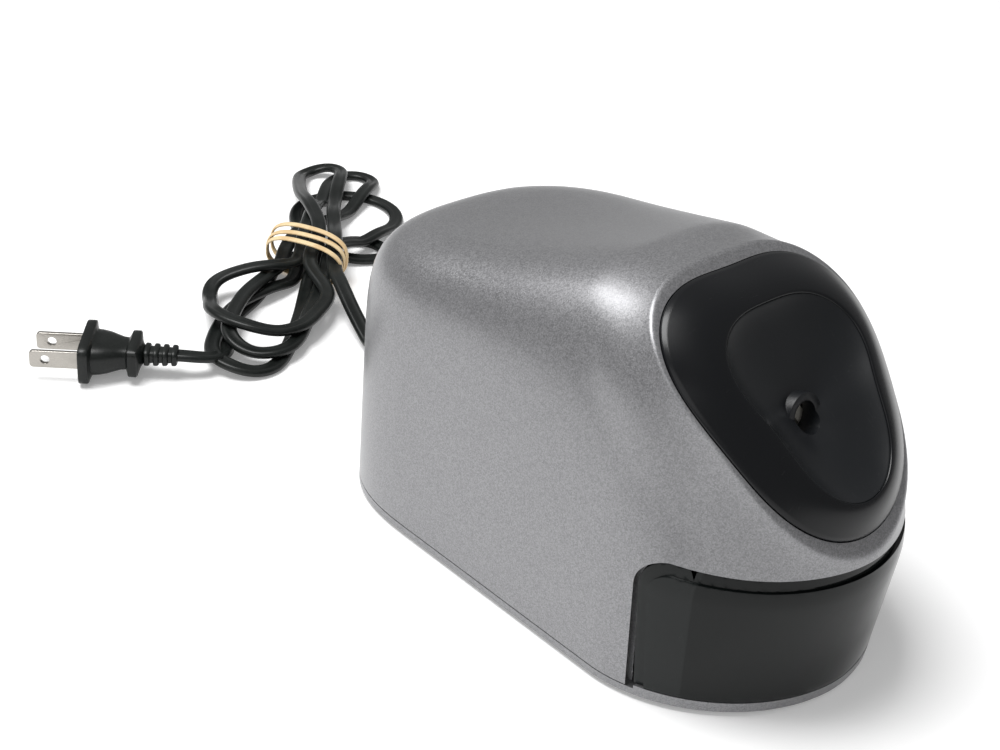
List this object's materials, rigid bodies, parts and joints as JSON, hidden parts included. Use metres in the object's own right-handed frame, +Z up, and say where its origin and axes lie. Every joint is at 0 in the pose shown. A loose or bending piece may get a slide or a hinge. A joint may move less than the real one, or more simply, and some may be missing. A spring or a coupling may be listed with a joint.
{
  "type": "electric pencil sharpener",
  "caption": "Desktop mains pencil sharpener: a tilted dish leads to a motor-driven helical cutter, with a smoked drawer for shavings and a banded power cord.",
  "frame": {"origin": "centre of the housing's footprint, on the surface that the feet stand on", "axes": "+Z up, the front with the pencil hole and the drawer faces -Y, +X is the right-hand side seen from the front"},
  "size_m": [0.2043, 0.3648, 0.1094],
  "materials": {
    "housing_silver": "satin metallic paint",
    "bezel_black": "high gloss",
    "dish_black": "satin, lightly scratched",
    "smoke": "clear smoked gloss",
    "foot_rubber": "matte",
    "cord_black": "satin",
    "band_tan": "matte",
    "frame_grey": "satin",
    "gear_white": "satin",
    "switch_black": "satin",
    "switch_red": "satin",
    "steel": "zinc plated",
    "cutter_steel": "ground",
    "laminations": "oiled edges",
    "copper": "enamelled wire",
    "bearing_bronze": "sintered",
    "blade_nickel": "nickel plated"
  },
  "bodies": {
    "housing": {"housing_shell": "housing_silver", "base_plate": "housing_silver", "bezel_ring": "bezel_black", "pencil_dish": "dish_black", "mechanism_frame": "frame_grey", "guide_tube": "gear_white", "ring_gear": "steel", "carrier_bush": "bearing_bronze", "idler_axle": "steel", "motor_stator": "laminations", "coil_bobbin": "gear_white", "motor_winding": "copper", "motor_bracket_front": "frame_grey", "motor_bracket_rear": "frame_grey", "bearing_front": "bearing_bronze", "bearing_rear": "bearing_bronze", "motor_bolt_1": "steel", "motor_bolt_2": "steel", "lever_pin": "steel", "start_switch": "switch_black", "drawer_switch": "switch_black", "strain_relief": "cord_black", "cord_lead": "cord_black", "cord_tail": "cord_black", "cord_hank": "cord_black", "rubber_band": "band_tan", "plug_body": "cord_black", "plug_blade_near": "blade_nickel", "plug_blade_far": "blade_nickel", "base_screw_1": "steel", "base_screw_2": "steel", "base_screw_3": "steel", "base_screw_4": "steel", "frame_screw_1": "steel", "frame_screw_2": "steel", "foot_left_front": "foot_rubber", "foot_right_front": "foot_rubber", "foot_left_rear": "foot_rubber", "foot_right_rear": "foot_rubber"},
    "rotor": {"rotor_core": "laminations", "rotor_shaft": "steel", "motor_pinion": "bearing_bronze", "cooling_fan": "switch_black"},
    "idler": {"idler_gear": "gear_white"},
    "carrier": {"cutter_carrier": "gear_white", "carrier_gear": "gear_white", "cutter_pin": "steel"},
    "cutter": {"helical_cutter": "cutter_steel", "cutter_pinion": "steel"},
    "start_lever": {"start_lever": "gear_white"},
    "start_button": {"start_switch_button": "switch_red"},
    "drawer": {"shavings_drawer": "smoke"},
    "drawer_plunger": {"drawer_switch_plunger": "switch_red"}
  },
  "joints": [
    {"name": "rotor_spin", "type": "hinge", "parent": "housing", "child": "rotor", "pos_m": [0, 0.02587, 0.05199], "axis": [0, 0.9613, -0.2756], "continuous": true},
    {"name": "idler_spin", "type": "hinge", "parent": "housing", "child": "idler", "pos_m": [0, -0.00107, 0.03787], "axis": [0, 0.9613, -0.2756], "continuous": true},
    {"name": "carrier_spin", "type": "hinge", "parent": "housing", "child": "carrier", "pos_m": [0, -0.01258, 0.06302], "axis": [0, 0.9613, -0.2756], "continuous": true},
    {"name": "cutter_spin", "type": "hinge", "parent": "carrier", "child": "cutter", "pos_m": [0, -0.03958, 0.08168], "axis": [0, 0.8926, -0.4509], "continuous": true},
    {"name": "start_lever_swing", "type": "hinge", "parent": "housing", "child": "start_lever", "pos_m": [0.014, -0.05633, 0.061], "axis": [0, 0.9613, -0.2756], "range_deg": [0, 15]},
    {"name": "start_button_press", "type": "slide", "parent": "housing", "child": "start_button", "axis": [0, -0.2756, -0.9613], "range_m": [0, 0.0022], "stiffness_N_per_m": 20},
    {"name": "drawer_slide", "type": "slide", "parent": "housing", "child": "drawer", "axis": [0, -1, 0], "range_m": [0, 0.075]},
    {"name": "drawer_plunger_travel", "type": "slide", "parent": "housing", "child": "drawer_plunger", "axis": [0, -1, 0], "range_m": [0, 0.0026]}
  ],
  "couplings": [
    {"joint": "idler_spin", "follows": "rotor_spin", "ratio": -0.25},
    {"joint": "carrier_spin", "follows": "rotor_spin", "ratio": 0.125},
    {"joint": "cutter_spin", "follows": "rotor_spin", "ratio": -0.41667},
    {"joint": "start_lever_swing", "follows": "start_button_press", "rad_per_m": 111},
    {"joint": "drawer_plunger_travel", "follows": "drawer_slide", "ratio": 0.033333}
  ]
}
